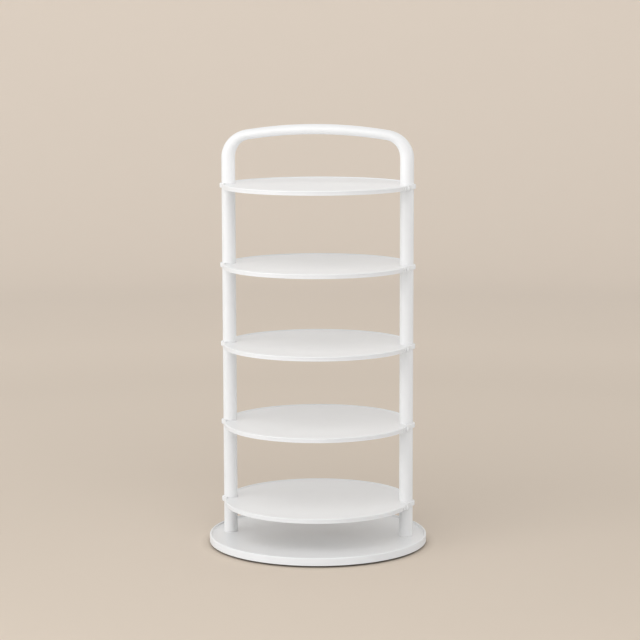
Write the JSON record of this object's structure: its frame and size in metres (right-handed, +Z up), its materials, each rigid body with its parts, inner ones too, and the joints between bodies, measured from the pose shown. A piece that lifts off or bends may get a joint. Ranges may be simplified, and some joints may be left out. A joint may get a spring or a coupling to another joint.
{
  "type": "rotating shoe tower",
  "caption": "Round turning rack of stacked sheet metal trays between two tube posts joined by a bent bow, on a low base with a ring bearing.",
  "frame": {"origin": "on the floor, at the turning axis, under the middle of the base", "axes": "+Z up along the turning axis, posts on +X and -X, the side seen first towards -Y"},
  "size_m": [0.4, 0.4, 0.77],
  "materials": {
    "white_powder_coat": "satin powder coat on steel",
    "white_moulding": "satin moulded",
    "zinc_plate": "zinc plated",
    "ring_alloy": "turned, mill finish",
    "bearing_steel": "polished balls",
    "cage_nylon": "natural nylon",
    "foot_rubber": "matt"
  },
  "bodies": {
    "foot": {"foot_plate": "zinc_plate", "rubber_feet": "foot_rubber", "bearing_outer_ring": "ring_alloy", "outer_ring_screws": "zinc_plate"},
    "tower": {"base_pan": "white_powder_coat", "post_right": "white_powder_coat", "post_left": "white_powder_coat", "top_bow": "white_powder_coat", "tray_1": "white_powder_coat", "tray_2": "white_powder_coat", "tray_3": "white_powder_coat", "tray_4": "white_powder_coat", "tray_5": "white_powder_coat", "band_1_right": "white_powder_coat", "band_1_left": "white_powder_coat", "band_2_right": "white_powder_coat", "band_2_left": "white_powder_coat", "band_3_right": "white_powder_coat", "band_3_left": "white_powder_coat", "band_4_right": "white_powder_coat", "band_4_left": "white_powder_coat", "band_5_right": "white_powder_coat", "band_5_left": "white_powder_coat", "post_plug_right": "white_moulding", "post_plug_left": "white_moulding", "band_knobs": "white_moulding", "pan_studs": "zinc_plate", "stud_nuts": "zinc_plate", "post_bolts": "zinc_plate", "post_washers": "zinc_plate", "bow_sleeves": "zinc_plate", "band_nuts": "zinc_plate", "support_pins": "zinc_plate", "bearing_inner_ring": "ring_alloy"},
    "cage": {"ball_cage": "cage_nylon", "bearing_balls": "bearing_steel"}
  },
  "joints": [
    {"name": "tower_spin", "type": "hinge", "parent": "foot", "child": "tower", "pos_m": [0, 0, 0.00855], "axis": [0, 0, 1], "continuous": true},
    {"name": "cage_spin", "type": "hinge", "parent": "foot", "child": "cage", "pos_m": [0, 0, 0.00855], "axis": [0, 0, 1], "continuous": true}
  ],
  "couplings": [
    {"joint": "cage_spin", "follows": "tower_spin", "ratio": 0.4875}
  ]
}
